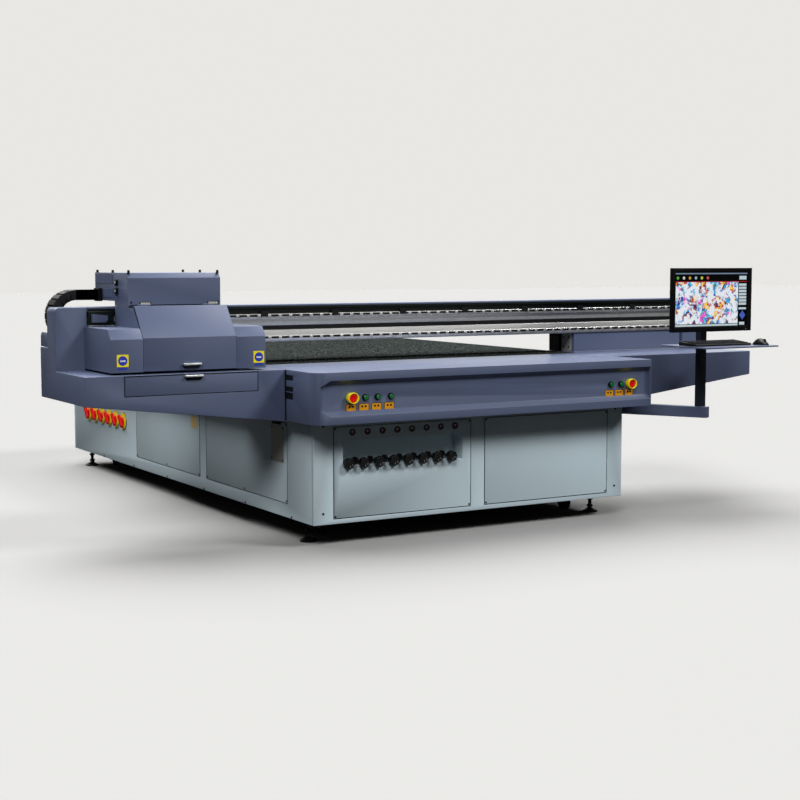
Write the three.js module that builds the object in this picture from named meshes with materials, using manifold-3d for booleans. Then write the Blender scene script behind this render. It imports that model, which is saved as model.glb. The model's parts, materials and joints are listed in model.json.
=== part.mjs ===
// A flatbed UV printer: a cabinet on levelling feet carries a flat vacuum bed, a gantry runs along
// the bed on both side beams, and a print carriage runs along the gantry beam.
// Millimetres, +Z up, the operator stands at -Y. The origin is the centre of the footprint on the floor.
import * as THREE from "three";
import { mergeVertices } from "three/addons/utils/BufferGeometryUtils.js";
import Module from "manifold-3d";

const wasm = await Module();
wasm.setup();

// ---- driving dimensions --------------------------------------------------------------------
// Within this file y = 0 is the front face of the cabinet; the last lines shift it to the origin.
const GAP = 0.3; // clearance left between pieces that touch
const SHEET = 20; // depth of the cabinet walls with their stiffening flanges
const CAB = { half: 948, length: 3607, z0: 110, z1: 612 };
const TABLE = { half: 1019, top: 867, bottom: 617, slab: 37 };
const CONSOLE = { front: -156, back: 156, deckEnd: 500, wall: 10, recess: 25, cornerR: 71 };
const REAR_CONSOLE = { y0: 3610, y1: 3763 };
const SIDE_BEAM = { inner: 900, y0: 160, y1: 3600, z1: 829.7 };
const CHANNEL = { z0: 724, z1: 786, depth: 45, ridge: 20 };
const WING = { inner: 1022, outer: 2030, y0: 156, y1: 813, innerZ: 612, outerZ: 730 };
const TOWER = { inner: 1872, y0: 576, y1: 700, z1: 1171, cornerR: 22 };
const BEAM = { half: 1870, y0: 590, y1: 698, z0: 978, z1: 1150 };
const RAIL = { y0: 575, height: 25, upperZ: 1098, lowerZ: 985 };
const LID = { y0: 575, y1: 705, z0: 1152, z1: 1171 };
const TROUGH = { left: -2007, right: 1890, y1: 880, z0: 975, z1: 1045, floor: 993.6, cornerR: 30 };
const CHAIN = { y0: 752, y1: 858, outerR: 129, thick: 50, bendX: -1864, bendZ: 1123, fixedX: -295 };
const CARRIAGE = { x0: -1889, x1: -1103, y0: 200, y1: 572, z0: 877, shoulder: 1031, top: 1078 };
const BAY = { x0: -1731, x1: -1256 }; // the covered middle of the carriage
const HEADS = { x0: -1640, x1: -1340, y0: 260, y1: 500, tall: 110, flange: 25 };
const UPPER_BOX = { y0: 389, y1: 855, z0: 1185, overhangZ: 1200, chamferZ: 1313, z1: 1337 };
const COVER = { thick: 4, foldZ: 1035, ledgeY: 312, ledgeZ: 1181, hingeY: 380, hingeZ: 1184 };
const DRAWER = { x0: -1841, x1: -1165, z0: 768, z1: 862, depth: 384, wall: 6 };
const HINGE_POST = { x: 1000, y: 546, pinR: 12 };
const STAND = { x: 1400, y: -120, tube: 40, armZ0: 530, armZ1: 590, armWide: 50, top: 1212 };
const SHELF = { x0: 1190, x1: 1708, y0: -400, y1: -30, z0: 927, z1: 935 };
const MONITOR = { x0: 1126, x1: 1692, y0: -200, y1: -170, z0: 1009, z1: 1356, tiltZ: 1190 };
const FOOT = { x: 880, y: [190, 3450], padR: 45, stemR: 11, pad: 14 };
const CASTER = { x: 760, y: [290, 3330], wheelR: 45, wide: 30, axleZ: 55, axleR: 6, offset: 22 };
const FRAME = { x0: 800, x1: 920, y0: 60, y1: 3547, z0: 130, z1: 230 };
const VALVES = { count: 8, x0: -759, pitch: 84.7, z: 405, headR: 28, y0: -30, y1: -1 };
const RECESS = { x0: -788, x1: -87, z0: 381, z1: 521, depth: 90, wall: 3 };
const SWITCHES = { count: 6, y0: 2632, pitch: 131.5, z: 383, half: 12, reach: 46, lean: 38 };
const END_PLATE = 4; // closes the control strip at the console's square right end
const CONTROLS_Z = 740;
const ESTOPS = [["estop_left", -811], ["estop_right", 889]];
const BUTTONS = [
  ["button_left_1", -735], ["button_left_2", -666], ["button_left_3", -592],
  ["button_right_1", 761], ["button_right_2", 828],
];

// ---- materials -----------------------------------------------------------------------------
const paint = (color, roughness, metalness) =>
  new THREE.MeshStandardMaterial({ color, roughness, metalness });
const slateBlue = () => paint(0x4c546c, 0.45, 0.1);
const cabinetBlue = () => paint(0x8a98a2, 0.5, 0.1);
const steel = () => paint(0x9a9c9e, 0.35, 0.9);
const bedMetal = () => paint(0x3a403e, 0.6, 0.5);
const black = () => paint(0x121314, 0.5, 0);
const red = () => paint(0xc4161c, 0.4, 0);
const green = () => paint(0x0e6b3c, 0.4, 0);

// ---- shapes --------------------------------------------------------------------------------
// A box from its lowest to its highest corner.
function box(x0, x1, y0, y1, z0, z1) {
  const g = new THREE.BoxGeometry(x1 - x0, y1 - y0, z1 - z0);
  return g.translate((x0 + x1) / 2, (y0 + y1) / 2, (z0 + z1) / 2);
}
// A cylinder along an axis ("x", "y" or "z") from a to b, centred on the two other coordinates.
function rod(axis, a, b, c1, c2, r, sides = 16) {
  const g = new THREE.CylinderGeometry(r, r, b - a, sides);
  const mid = (a + b) / 2;
  if (axis === "x") return g.rotateZ(Math.PI / 2).translate(mid, c1, c2);
  if (axis === "y") return g.translate(c1, mid, c2);
  return g.rotateX(Math.PI / 2).translate(c1, c2, mid);
}
function outline(points) {
  return new THREE.Shape(points.map(([u, v]) => new THREE.Vector2(u, v)));
}
// A (y, z) outline pushed along X.
function alongX(shape, x0, x1, curveSegments = 8) {
  const g = new THREE.ExtrudeGeometry(shape, { depth: x1 - x0, bevelEnabled: false, curveSegments });
  const swap = new THREE.Matrix4().set(0, 0, 1, x0, 1, 0, 0, 0, 0, 1, 0, 0, 0, 0, 0, 1);
  return g.applyMatrix4(swap);
}
// An (x, z) outline pushed along Y.
function alongY(shape, y0, y1, curveSegments = 8) {
  const g = new THREE.ExtrudeGeometry(shape, { depth: y1 - y0, bevelEnabled: false, curveSegments });
  return g.rotateX(Math.PI / 2).translate(0, y1, 0);
}
// An (x, y) outline pushed along Z.
function alongZ(shape, z0, z1, curveSegments = 8) {
  const g = new THREE.ExtrudeGeometry(shape, { depth: z1 - z0, bevelEnabled: false, curveSegments });
  return g.translate(0, 0, z0);
}

// ---- joins and cuts ------------------------------------------------------------------------
function solid(geometry) {
  const g = geometry.clone();
  for (const key of Object.keys(g.attributes)) if (key !== "position") g.deleteAttribute(key);
  const merged = mergeVertices(g, 1e-3);
  const mesh = { numProp: 3, vertProperties: merged.attributes.position.array };
  return new wasm.Manifold(new wasm.Mesh({ ...mesh, triVerts: new Uint32Array(merged.index.array) }));
}
function geometryOf(manifold) {
  const mesh = manifold.getMesh();
  const g = new THREE.BufferGeometry();
  g.setAttribute("position", new THREE.BufferAttribute(new Float32Array(mesh.vertProperties), 3));
  g.setIndex(new THREE.BufferAttribute(new Uint32Array(mesh.triVerts), 1));
  return g;
}
const join = (...parts) => geometryOf(parts.map(solid).reduce((a, b) => a.add(b)));
const cut = (body, ...tools) =>
  geometryOf(tools.map(solid).reduce((a, b) => a.subtract(b), solid(body)));
const common = (a, b) => geometryOf(solid(a).intersect(solid(b)));

const printer = new THREE.Group();
const fromCabinetFront = new THREE.Group();
printer.add(fromCabinetFront);

function piece(name, geometry, material) {
  const g = geometry.index ? geometry.toNonIndexed() : geometry;
  g.computeVertexNormals();
  const mesh = new THREE.Mesh(g, material);
  mesh.name = name;
  fromCabinetFront.add(mesh);
  return mesh;
}

// ---- base: frame, feet, casters ------------------------------------------------------------
// A fork of two cheeks under a head disc, with the axle across it; the wheel turns about X.
function casterFork(x, y, headY, top) {
  const cheek = CASTER.wide / 2 + 2;
  const plates = [-1, 1].map((side) => {
    const middle = x + side * (cheek + 2);
    return box(middle - 2, middle + 2, y - 14, headY + 20, CASTER.axleZ - 12, FRAME.z0 - 6);
  });
  const head = box(x - cheek - 4, x + cheek + 4, y - 14, headY + 20, FRAME.z0 - 8, FRAME.z0 - 4);
  const post = rod("z", FRAME.z0 - 5, top, x, headY, CASTER.offset / 2 + 10);
  const axle = rod("x", x - cheek - 2, x + cheek + 2, y, CASTER.axleZ, CASTER.axleR, 12);
  return join(plates[0], plates[1], head, post, axle);
}
function casterWheel(x, y) {
  const r = CASTER.wheelR;
  const half = CASTER.wide / 2;
  const bore = CASTER.axleR + 0.5;
  const profile = [[bore, -half], [r - 4, -half], [r, -half + 4], [r, half - 4], [r - 4, half],
    [bore, half], [bore, -half]];
  const g = new THREE.LatheGeometry(profile.map(([u, v]) => new THREE.Vector2(u, v)), 24);
  return g.rotateZ(-Math.PI / 2).translate(x, y, CASTER.axleZ);
}

function addBaseFrame() {
  const { x0, x1, y0, y1, z0, z1 } = FRAME;
  const mid = (y0 + y1) / 2;
  const crossY = [CASTER.y[0], mid, CASTER.y[1]].map((y) => [y - 60, y + 60]);
  const rails = [box(-x1, -x0, y0, y1, z0, z1), box(x0, x1, y0, y1, z0, z1)];
  const crosses = crossY.map(([a, b]) => box(-x0 - 10, x0 + 10, a, b, z0, z1));
  const posts = crossY.flatMap(([a, b]) =>
    [[-x1, -x0], [x0, x1]].map(([left, right]) => box(left, right, a, b, z1 - 10, CAB.z1)));
  const rearY = CASTER.y[1];
  const brackets = [-1, 1].map((s) => casterFork(s * CASTER.x, rearY - CASTER.offset, rearY, z0 + 2));
  piece("base_frame", join(...rails, ...crosses, ...posts, ...brackets), steel());
}
function addFeetAndCasters() {
  const { padR, stemR, pad } = FOOT;
  const stemTop = FRAME.z0 - GAP;
  const profile = [[0, 0], [padR, 0], [padR, 8], [26, pad + 4], [stemR, pad + 8], [stemR, 70],
    [18, 70], [18, 82], [stemR, 82], [stemR, stemTop], [0, stemTop]];
  const points = profile.map(([r, z]) => new THREE.Vector2(r, z));
  const ends = ["front", "rear"];
  for (const [side, sign] of [["left", -1], ["right", 1]]) {
    for (const end of [0, 1]) {
      const foot = new THREE.LatheGeometry(points, 16).rotateX(Math.PI / 2);
      foot.translate(sign * FOOT.x, FOOT.y[end], 0);
      piece(`levelling_foot_${ends[end]}_${side}`, foot, steel());
      const x = sign * CASTER.x;
      const headY = CASTER.y[end];
      const wheelY = headY - CASTER.offset;
      if (end === 0) piece(`caster_fork_${side}`, casterFork(x, wheelY, headY, FRAME.z0 - GAP), steel());
      if (end === 0) piece(`caster_wheel_front_${side}`, casterWheel(x, wheelY), black());
      if (end === 1) piece(`caster_wheel_rear_${side}`, casterWheel(x, wheelY), black());
    }
  }
}

// ---- cabinet -------------------------------------------------------------------------------
const POCKET = 4; // the service panels lie in pockets this deep, flush with the wall
const FRONT_PANELS = { z0: 133, z1: 590, valve: [-840, -36], service: [44, 849] };
const LEFT_PANELS = { z0: 178, z1: 590, front: [284, 1313], rear: [1401, 2407] };

function addCabinetFront() {
  const { z0, z1, valve, service } = FRONT_PANELS;
  const wall = box(-CAB.half, CAB.half, 0, SHEET, CAB.z0, CAB.z1);
  const hole = box(RECESS.x0 - 2, RECESS.x1 + 2, -1, SHEET + 1, RECESS.z0 - 2, RECESS.z1 + 2);
  const pockets = [valve, service].map(([a, b]) => box(a, b, -1, POCKET, z0, z1));
  piece("cabinet_front_wall", cut(wall, hole, ...pockets), cabinetBlue());
  const panel = ([a, b]) => box(a + 2, b - 2, 0, POCKET - GAP, z0 + 2, z1 - 2);
  piece("front_service_panel", panel(service), cabinetBlue());
  const w = RECESS.wall;
  const tray = box(RECESS.x0, RECESS.x1, 0, RECESS.depth + w, RECESS.z0, RECESS.z1);
  const inside = box(RECESS.x0 + w, RECESS.x1 - w, -1, RECESS.depth, RECESS.z0 + w, RECESS.z1 - w);
  piece("front_valve_panel", cut(join(panel(valve), tray), inside), cabinetBlue());
}
function addCabinetSides() {
  const y0 = SHEET + GAP;
  const y1 = CAB.length - SHEET - GAP;
  const { z0, z1, front, rear } = LEFT_PANELS;
  const left = box(-CAB.half, -CAB.half + SHEET, y0, y1, CAB.z0, CAB.z1);
  const pockets = [front, rear].map(([a, b]) => box(-CAB.half - 1, -CAB.half + POCKET, a, b, z0, z1));
  piece("cabinet_left_wall", cut(left, ...pockets), cabinetBlue());
  for (const [name, [a, b]] of [["left_panel_front", front], ["left_panel_rear", rear]]) {
    piece(name, box(-CAB.half, -CAB.half + POCKET - GAP, a + 2, b - 2, z0 + 2, z1 - 2), cabinetBlue());
  }
  const { x, y, pinR } = HINGE_POST;
  const ear = (a, b) => box(CAB.half - 2, x + 30, y - 35, y + 35, a, b);
  const pin = rod("z", STAND.armZ0 - 10, STAND.armZ1 + 10, x, y, pinR);
  const right = box(CAB.half - SHEET, CAB.half, y0, y1, CAB.z0, CAB.z1);
  const ears = [ear(STAND.armZ0 - 22, STAND.armZ0 - 2), ear(STAND.armZ1 + 2, CAB.z1 - 6)];
  piece("cabinet_right_wall", join(right, ...ears, pin), cabinetBlue());
  piece("cabinet_rear_wall", box(-CAB.half, CAB.half, y1 + GAP, CAB.length, CAB.z0, CAB.z1), cabinetBlue());
}

// ---- table: consoles, side beams, bed ------------------------------------------------------
// The console is a sheet box, open to the rear, with a recessed control strip and a rounded left corner.
function addFrontConsole() {
  const { front, back, deckEnd, wall, recess, cornerR } = CONSOLE;
  const { half, top, bottom, slab } = TABLE;
  const plan = new THREE.Shape();
  plan.moveTo(-half, back);
  plan.lineTo(-half, front + cornerR);
  plan.absarc(-half + cornerR, front + cornerR, cornerR, Math.PI, Math.PI * 1.5, false);
  plan.lineTo(half, front);
  plan.lineTo(half, back);
  const shell = alongZ(plan, bottom, top);
  const room = [back + 1, bottom + wall, top - wall];
  const inside = box(-half + cornerR, half - wall, front + recess + wall, ...room);
  const corner = box(-half + wall, -half + cornerR + 1, front + cornerR, ...room);
  const deck = box(-half, half, back - 1, deckEnd, top - slab, top);
  const bevelled = outline([[front - 1, 829], [front, 828], [front + recess, 806], [front + recess, 679],
    [front, 654], [front - 1, 653]]);
  const end = half - END_PLATE;
  const ends = outline([[-982, 800], [-930, 830], [end, 830], [end, 652], [-930, 652], [-982, 681]]);
  const strip = common(alongX(bevelled, -half, half + 1), alongY(ends, front - 2, 0));
  const slots = [[724, 757], [762, 786], [816, 842]].map(([a, b]) =>
    box(-half - 1, -half + wall + 1, back - 83, back - 7, a, b));
  const face = front + recess;
  const holes = BUTTONS.map(([, x]) => rod("y", face - 1, face + wall + 1, x, CONTROLS_Z, 8, 12));
  const stopHoles = ESTOPS.map(([, x]) => rod("y", face - 1, face + wall + 1, x, CONTROLS_Z, 12, 12));
  const body = cut(join(shell, deck), inside, corner, strip, ...slots, ...holes, ...stopHoles);
  piece("front_console", body, slateBlue());
}
function addRearConsole() {
  const { y0, y1 } = REAR_CONSOLE;
  const { half, top, bottom } = TABLE;
  const wall = CONSOLE.wall;
  const inside = box(-half + wall, half - wall, y0 - 1, y1 - wall, bottom + wall, top - wall);
  piece("rear_console", cut(box(-half, half, y0, y1, bottom, top), inside), slateBlue());
}
// Each side beam has a channel along its outer face with the linear rail as a ridge inside.
function sideBeam(sign) {
  const { inner, y0, y1, z1 } = SIDE_BEAM;
  const { half, bottom } = TABLE;
  const { z0, z1: c1, depth, ridge } = CHANNEL;
  const mid = (z0 + c1) / 2;
  const points = [[inner, bottom], [half, bottom], [half, z0], [half - depth, z0],
    [half - depth, mid - ridge / 2], [half - depth + ridge, mid - ridge / 2],
    [half - depth + ridge, mid + ridge / 2], [half - depth, mid + ridge / 2],
    [half - depth, c1], [half, c1], [half, z1], [inner, z1]];
  return alongY(outline(points.map(([x, z]) => [sign * x, z])), y0, y1);
}
function addTable() {
  piece("side_beam_left", sideBeam(-1), slateBlue());
  piece("side_beam_right", sideBeam(1), slateBlue());
  const { half, top, slab } = TABLE;
  piece("vacuum_bed", box(-half, half, CONSOLE.deckEnd + 5, SIDE_BEAM.y1, top - slab, top), bedMetal());
}

// ---- controls ------------------------------------------------------------------------------
function addControls() {
  const face = CONSOLE.front + CONSOLE.recess;
  for (const [name, x] of BUTTONS) {
    const cap = rod("y", face - 16, face - 5, x, CONTROLS_Z, 12);
    piece(name, join(cap, rod("y", face - 6, face + 24, x, CONTROLS_Z, 7, 12)), green());
  }
  for (const [name, x] of ESTOPS) {
    const cap = rod("y", face - 26, face - 13, x, CONTROLS_Z, 20, 20);
    piece(name, join(cap, rod("y", face - 14, face + 24, x, CONTROLS_Z, 11, 12)), red());
  }
}
// A knob with eight lobes on a round spindle that ends at the back wall of the recess.
function addValveKnobs() {
  const { count, x0, pitch, z, headR, y0, y1 } = VALVES;
  const lobes = 8;
  const steps = lobes * 4;
  for (let i = 0; i < count; i++) {
    const x = x0 + i * pitch;
    const rim = Array.from({ length: steps }, (_, k) => {
      const a = (k / steps) * Math.PI * 2;
      const r = headR - 1.2 + 1.2 * Math.cos(lobes * a);
      return [x + r * Math.cos(a), z + r * Math.sin(a)];
    });
    const spindle = rod("y", y1 - 1, RECESS.depth - 0.5, x, z, 8, 12);
    piece(`valve_knob_${i + 1}`, join(alongY(outline(rim), y0, y1), spindle), black());
  }
}
// Rotary switch handles on the rear of the left wall: a round boss with a leaning grip.
function addSwitchHandles() {
  const { count, y0, pitch, z, half, reach, lean } = SWITCHES;
  const angle = (lean * Math.PI) / 180;
  const corner = (u, v, y) => [
    y + u * Math.cos(angle) + v * Math.sin(angle),
    z - u * Math.sin(angle) + v * Math.cos(angle),
  ];
  for (let i = 0; i < count; i++) {
    const y = y0 + i * pitch;
    const face = -CAB.half - 5;
    const boss = rod("x", face - 12, face, y, z, 24);
    const bar = [[-half, -reach], [half, -reach], [half, reach], [-half, reach]];
    const grip = alongX(outline(bar.map(([u, v]) => corner(u, v, y))), face - 26, face - 11);
    piece(`switch_handle_${i + 1}`, join(boss, grip), red());
  }
}

// ---- gantry --------------------------------------------------------------------------------
// The tower's front outline, with its outer top corner rounded.
function towerOutline(sign) {
  const { inner, z1, cornerR } = TOWER;
  const { outer } = WING;
  const shape = new THREE.Shape();
  shape.moveTo(sign * inner, TABLE.top - 1);
  shape.lineTo(sign * outer, TABLE.top - 1);
  shape.lineTo(sign * outer, z1 - cornerR);
  const middle = sign * (outer - cornerR);
  const [from, to] = sign > 0 ? [0, Math.PI / 2] : [Math.PI, Math.PI / 2];
  shape.absarc(middle, z1 - cornerR, cornerR, from, to, sign < 0);
  shape.lineTo(sign * inner, z1);
  return shape;
}
// One wing: a tapered box beside the table, the support under the beam and the tower at its end.
// The bearing block reaches into the channel of the side beam and straddles its rail.
function wingSolids(sign) {
  const { inner, outer, y0, y1, innerZ, outerZ } = WING;
  const top = TABLE.top;
  const flip = (points) => outline(points.map(([x, z]) => [sign * x, z]));
  const sided = (a, b, ...rest) =>
    box(Math.min(sign * a, sign * b), Math.max(sign * a, sign * b), ...rest);
  const wing = alongY(flip([[inner, innerZ], [outer, outerZ], [outer, top], [inner, top]]), y0, y1);
  const support = sided(inner + 38, TOWER.inner - 10, TOWER.y0 + 12, TOWER.y1, top - 1, BEAM.z0 - GAP);
  const tower = alongY(towerOutline(sign), TOWER.y0, TOWER.y1, 4);
  const rear = sided(TOWER.inner, outer, TOWER.y1 - 1, y1, top - 1, TROUGH.z0 - GAP);
  const { z0, z1, depth, ridge } = CHANNEL;
  const mid = (z0 + z1) / 2;
  const block = sided(TABLE.half - depth + 2, inner + 1, y0 + 40, y1 - 40, z0 + 3, z1 - 3);
  const straddle = sided(TABLE.half - depth, TABLE.half - depth + ridge + 1, y0, y1, mid - 12, mid + 12);
  return [wing, support, tower, rear, cut(block, straddle)];
}
function addWings() {
  const left = wingSolids(-1);
  const { x0, x1, z0, z1, depth } = DRAWER;
  const cavity = box(x0 - 1, x1 + 1, WING.y0 - 1, WING.y0 + depth + 15, z0 - 1, z1 + 0.5);
  piece("left_wing", cut(join(...left), cavity), slateBlue());
  piece("right_wing", join(...wingSolids(1)), slateBlue());
}
function addDrawer() {
  const { x0, x1, z0, z1, depth, wall } = DRAWER;
  const y0 = WING.y0;
  const front = box(x0, x1, y0, y0 + wall, z0, z1);
  const tray = box(x0 + 6, x1 - 6, y0 + wall - 1, y0 + depth, z0 + 4, z1 - 12);
  const inside = box(x0 + 6 + wall, x1 - 6 - wall, y0 + 2 * wall, y0 + depth - wall, z0 + 4 + wall, z1);
  piece("maintenance_drawer", cut(join(front, tray), inside), slateBlue());
}
function addBeam() {
  const { half, y0, y1, z0, z1 } = BEAM;
  const groove = 12;
  const railTop = RAIL.upperZ + RAIL.height + GAP;
  const section = outline([[y0, z0], [y1, z0], [y1, z1], [y0 + groove, z1], [y0 + groove, railTop],
    [y0, railTop], [y0, 1063], [y0 + groove, 1063], [y0 + groove, 1040], [y0, 1040]]);
  piece("gantry_beam", alongX(section, -half, half), steel());
  for (const [name, z] of [["upper_rail", RAIL.upperZ], ["lower_rail", RAIL.lowerZ]]) {
    piece(name, box(-half + 15, half - 15, RAIL.y0, y0 - GAP, z, z + RAIL.height), steel());
  }
}
// The lid folds down behind the beam into the open trough in which the cable chain lies.
function addBeamCover() {
  const { y0, y1, z0, z1 } = LID;
  const { left, right, y1: back, z0: t0, z1: t1, floor, cornerR } = TROUGH;
  const lid = box(-BEAM.half, BEAM.half, y0, y1, z0, z1);
  const web = box(-BEAM.half, BEAM.half, BEAM.y1 + GAP, y1 + 1, t0 + 10, z0 + 1);
  const shape = new THREE.Shape();
  shape.moveTo(BEAM.y1 + 2.5, t0);
  shape.lineTo(back, t0);
  shape.lineTo(back, t1 - cornerR);
  shape.absarc(back - cornerR, t1 - cornerR, cornerR, 0, Math.PI / 2, false);
  shape.lineTo(BEAM.y1 + 2.5, t1);
  const whole = alongX(shape, left, right, 4);
  const hollow = box(left + 5, right - 5, y1 + 1, back - 6, floor, t1 + 1);
  piece("beam_cover", join(lid, web, cut(whole, hollow)), slateBlue());
}

// ---- cable chain ---------------------------------------------------------------------------
function addChain() {
  const { y0, y1, outerR, thick, bendX, bendZ, fixedX } = CHAIN;
  const innerR = outerR - thick;
  const arc = new THREE.Shape();
  arc.absarc(bendX, bendZ, outerR, Math.PI / 2, Math.PI * 1.5, false);
  arc.absarc(bendX, bendZ, innerR, Math.PI * 1.5, Math.PI / 2, true);
  const bend = new THREE.ExtrudeGeometry(arc, { depth: y1 - y0, bevelEnabled: false, curveSegments: 12 });
  bend.rotateX(Math.PI / 2).translate(0, y1, 0);
  piece("chain_bend", bend, black());
  const upperZ = bendZ + innerR;
  const lowerZ = bendZ - outerR;
  piece("chain_upper_run", box(bendX + 0.5, BAY.x0 - 0.5, y0, y1, upperZ, upperZ + thick), black());
  piece("chain_lower_run", box(bendX + 0.5, fixedX, y0, y1, lowerZ, lowerZ + thick), black());
}

// ---- carriage ------------------------------------------------------------------------------
function carriageEnd(x0, x1) {
  const { y0, y1, z0, shoulder, top } = CARRIAGE;
  return alongX(outline([[y0, z0], [y1, z0], [y1, top], [y0 + 37, top], [y0, shoulder]]), x0, x1);
}
function addCarriageBody() {
  const { x0, x1, y0, y1, z0, top } = CARRIAGE;
  const plate = box(x0 + 1, x1 - 1, y0 + 6, y1, z0, z0 + 12);
  const window = box(HEADS.x0, HEADS.x1, HEADS.y0, HEADS.y1, z0 - 1, z0 + 13);
  const rearWall = box(BAY.x0 - 1, BAY.x1 + 1, y1 - 30, y1, z0, UPPER_BOX.z0 + 1);
  const u = UPPER_BOX;
  const upper = alongX(outline([[u.y0, u.z0], [y1 + 3, u.z0], [y1 + 3, u.overhangZ], [u.y1, u.overhangZ],
    [u.y1, u.z1], [u.y0 + 21, u.z1], [u.y0, u.chamferZ]]), BAY.x0, BAY.x1);
  const cheek = outline([[y0 + 46, top - 10], [y1, top - 10], [y1, u.z0 + 1], [u.y0, u.z0 + 1],
    [u.y0, COVER.ledgeZ - 8], [COVER.ledgeY + 8, COVER.ledgeZ - 8], [y0 + 46, top]]);
  const cheeks = [alongX(cheek, BAY.x0, BAY.x0 + 8), alongX(cheek, BAY.x1 - 8, BAY.x1)];
  const ends = [carriageEnd(x0, BAY.x0), carriageEnd(BAY.x1, x1)];
  piece("carriage_body", cut(join(...ends, plate, rearWall, upper, ...cheeks), window), slateBlue());
}
function addCover() {
  const { thick: t, foldZ, ledgeY, ledgeZ, hingeY, hingeZ } = COVER;
  const y0 = CARRIAGE.y0;
  const z0 = CARRIAGE.z0 + 3;
  const sheet = outline([[y0, z0], [y0 + t, z0], [y0 + t, foldZ - 2], [ledgeY + 2, ledgeZ - t],
    [hingeY, ledgeZ - t], [hingeY, ledgeZ], [ledgeY, ledgeZ], [y0, foldZ]]);
  const x0 = BAY.x0 + 1.5;
  const x1 = BAY.x1 - 1.5;
  const hinges = [[x0 + 40, x0 + 95], [x1 - 95, x1 - 40]];
  const barrels = hinges.map(([a, b]) => rod("x", a, b, hingeY, hingeZ, 4, 10));
  const leaves = hinges.map(([a, b]) => box(a, b, hingeY - 3, hingeY - 0.5, ledgeZ - 1, hingeZ));
  piece("carriage_cover", join(alongX(sheet, x0, x1), ...barrels, ...leaves), slateBlue());
}
function addPrintheadBlock() {
  const z0 = CARRIAGE.z0;
  const { x0, x1, y0, y1, tall, flange: f } = HEADS;
  const heads = box(x0 + 1, x1 - 1, y0 + 1, y1 - 1, z0 + 3, z0 + tall);
  const flange = box(x0 - f, x1 + f, y0 - f + 5, y1 + f - 5, z0 + 12 + GAP, z0 + 22);
  piece("printhead_block", join(heads, flange), steel());
}

// ---- monitor stand -------------------------------------------------------------------------
function addMonitorStand() {
  const { x, y, tube, armZ0, armZ1, armWide, top } = STAND;
  const dx = x - HINGE_POST.x;
  const dy = y - HINGE_POST.y;
  const reach = Math.hypot(dx, dy);
  const arm = box(0, reach + 45, -armWide / 2, armWide / 2, armZ0, armZ1);
  arm.rotateZ(Math.atan2(dy, dx)).translate(HINGE_POST.x, HINGE_POST.y, 0);
  const barrel = rod("z", armZ0, armZ1, HINGE_POST.x, HINGE_POST.y, 26, 20);
  const bore = rod("z", armZ0 - 1, armZ1 + 1, HINGE_POST.x, HINGE_POST.y, HINGE_POST.pinR + 0.6);
  const half = tube / 2;
  const column = box(x - half, x + half, y - half, y + half, armZ1 - 5, top);
  const wide = half + 6;
  const collar = box(x - wide, x + wide, y - wide, y + wide, SHELF.z0 - 12, SHELF.z0 + 1);
  const shelf = box(SHELF.x0, SHELF.x1, SHELF.y0, SHELF.y1, SHELF.z0, SHELF.z1);
  piece("monitor_stand", cut(join(arm, barrel, column, collar, shelf), bore), slateBlue());
}
function addMonitor() {
  const { x0, x1, y0, y1, z0, z1, tiltZ } = MONITOR;
  const bezel = 30;
  const left = x0 + 12;
  const case_ = box(x0, x1, y0, y1, z0, z1);
  const screen = box(left, x1 - bezel, y0 - 1, y0 + 2, z0 + bezel - 4, z1 - bezel + 8);
  const plate = box(STAND.x - 50, STAND.x + 50, y1 - 1, y1 + 8, tiltZ - 50, tiltZ + 50);
  const knuckleEnd = STAND.y - STAND.tube / 2 - 4;
  const knuckle = box(STAND.x - 16, STAND.x + 16, y1 + 7, knuckleEnd, tiltZ - 10, tiltZ + 10);
  piece("monitor", join(cut(case_, screen), plate, knuckle), black());
}

addBaseFrame();
addFeetAndCasters();
addCabinetFront();
addCabinetSides();
addFrontConsole();
addRearConsole();
addTable();
addControls();
addValveKnobs();
addSwitchHandles();
addWings();
addDrawer();
addBeam();
addBeamCover();
addChain();
addCarriageBody();
addCover();
addPrintheadBlock();
addMonitorStand();
addMonitor();

// The footprint runs from the front edge of the monitor shelf to the back of the rear console.
fromCabinetFront.position.y = -(SHELF.y0 + REAR_CONSOLE.y1) / 2;

export default printer;
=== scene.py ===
import json
import math

import bmesh
import bpy
from mathutils import Matrix, Vector


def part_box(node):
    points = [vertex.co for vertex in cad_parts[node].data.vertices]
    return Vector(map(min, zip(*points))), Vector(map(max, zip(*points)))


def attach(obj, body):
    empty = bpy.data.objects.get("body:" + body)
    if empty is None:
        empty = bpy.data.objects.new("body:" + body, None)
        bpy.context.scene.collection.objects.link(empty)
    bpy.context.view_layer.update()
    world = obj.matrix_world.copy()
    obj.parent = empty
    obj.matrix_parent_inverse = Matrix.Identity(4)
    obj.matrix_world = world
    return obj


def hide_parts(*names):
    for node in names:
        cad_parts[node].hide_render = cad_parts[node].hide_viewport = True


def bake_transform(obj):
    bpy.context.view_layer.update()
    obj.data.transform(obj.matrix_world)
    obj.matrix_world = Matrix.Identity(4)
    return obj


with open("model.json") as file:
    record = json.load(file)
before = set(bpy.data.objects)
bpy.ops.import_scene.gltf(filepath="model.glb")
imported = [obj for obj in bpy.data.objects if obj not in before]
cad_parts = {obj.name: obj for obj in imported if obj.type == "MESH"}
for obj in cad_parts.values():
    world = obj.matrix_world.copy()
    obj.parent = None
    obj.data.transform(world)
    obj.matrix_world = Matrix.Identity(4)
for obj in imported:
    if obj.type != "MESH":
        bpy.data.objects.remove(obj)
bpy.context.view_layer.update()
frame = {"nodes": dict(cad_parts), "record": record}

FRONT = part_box("cabinet_front_wall")[0].y
BODY_OF = {n: b for b, nodes in frame["record"]["behaviour"]["bodies"].items() for n in nodes}
SLOT_OF = {s["node"]: s["material_slot"] for s in frame["record"]["subparts"]}
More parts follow.
